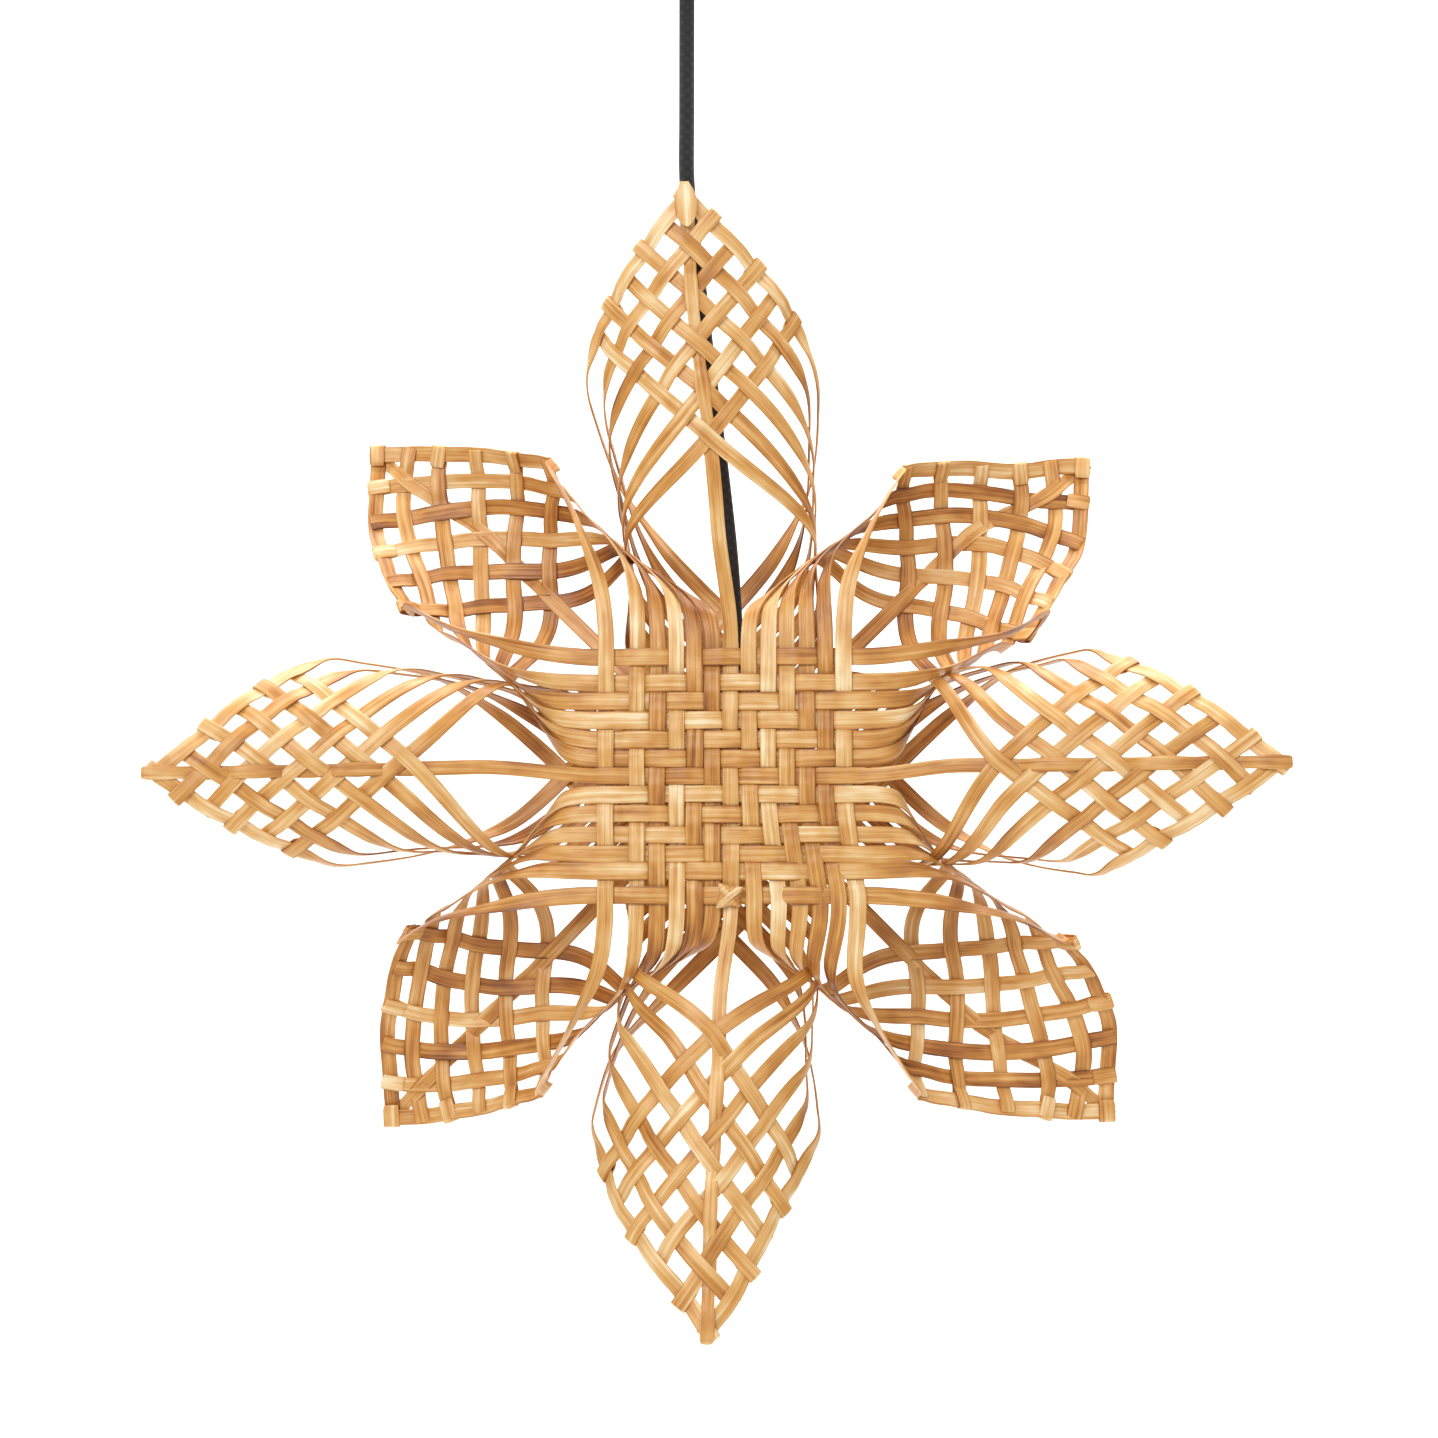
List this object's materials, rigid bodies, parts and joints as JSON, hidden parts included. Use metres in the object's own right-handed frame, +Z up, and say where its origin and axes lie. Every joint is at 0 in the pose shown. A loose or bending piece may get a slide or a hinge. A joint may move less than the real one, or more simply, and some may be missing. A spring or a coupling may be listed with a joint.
{
  "type": "christmas star",
  "caption": "Hanging star lamp woven from flat cane strips: open-weave pointed petals round a dense square mat, on a textile cord with a lampholder inside.",
  "frame": {"origin": "middle of the flat top of the ceiling fitting, where it meets the ceiling", "axes": "+Z up to the ceiling, -Y out of the star's front, where the picture is taken from, +X to its right"},
  "size_m": [0.4493, 0.1376, 0.5724],
  "materials": {
    "cane": "satin",
    "pale_cane": "satin",
    "black_textile": "matte",
    "black_plastic": "satin"
  },
  "bodies": {
    "root": {"front_upright_strip_01": "cane", "front_upright_strip_02": "cane", "front_upright_strip_03": "cane", "front_upright_strip_04": "cane", "front_upright_strip_05": "cane", "front_upright_strip_06": "cane", "front_upright_spoke": "cane", "front_upright_strip_08": "cane", "front_upright_strip_09": "cane", "front_upright_strip_10": "cane", "front_upright_strip_11": "cane", "front_upright_strip_12": "cane", "front_upright_strip_13": "cane", "front_level_strip_01": "cane", "front_level_strip_02": "cane", "front_level_strip_03": "cane", "front_level_strip_04": "cane", "front_level_strip_05": "cane", "front_level_strip_06": "cane", "front_level_spoke": "cane", "front_level_strip_08": "cane", "front_level_strip_09": "cane", "front_level_strip_10": "cane", "front_level_strip_11": "cane", "front_level_strip_12": "cane", "front_level_strip_13": "cane", "back_falling_strip_01": "cane", "back_falling_strip_02": "cane", "back_falling_strip_03": "cane", "back_falling_strip_04": "cane", "back_falling_strip_05": "cane", "back_falling_strip_06": "cane", "back_falling_spoke": "cane", "back_falling_strip_08": "cane", "back_falling_strip_09": "cane", "back_falling_strip_10": "cane", "back_falling_strip_11": "cane", "back_falling_strip_12": "cane", "back_falling_strip_13": "cane", "back_rising_strip_01": "cane", "back_rising_strip_02": "cane", "back_rising_strip_03": "cane", "back_rising_strip_04": "cane", "back_rising_strip_05": "cane", "back_rising_strip_06": "cane", "back_rising_spoke": "cane", "back_rising_strip_08": "cane", "back_rising_strip_09": "cane", "back_rising_strip_10": "cane", "back_rising_strip_11": "cane", "back_rising_strip_12": "cane", "back_rising_strip_13": "cane", "tie_knot": "pale_cane", "cord": "black_textile", "lampholder_cap": "black_plastic", "lampholder_shell": "black_plastic", "ceiling_cup": "black_plastic", "cord_grip": "black_plastic"}
  },
  "joints": []
}
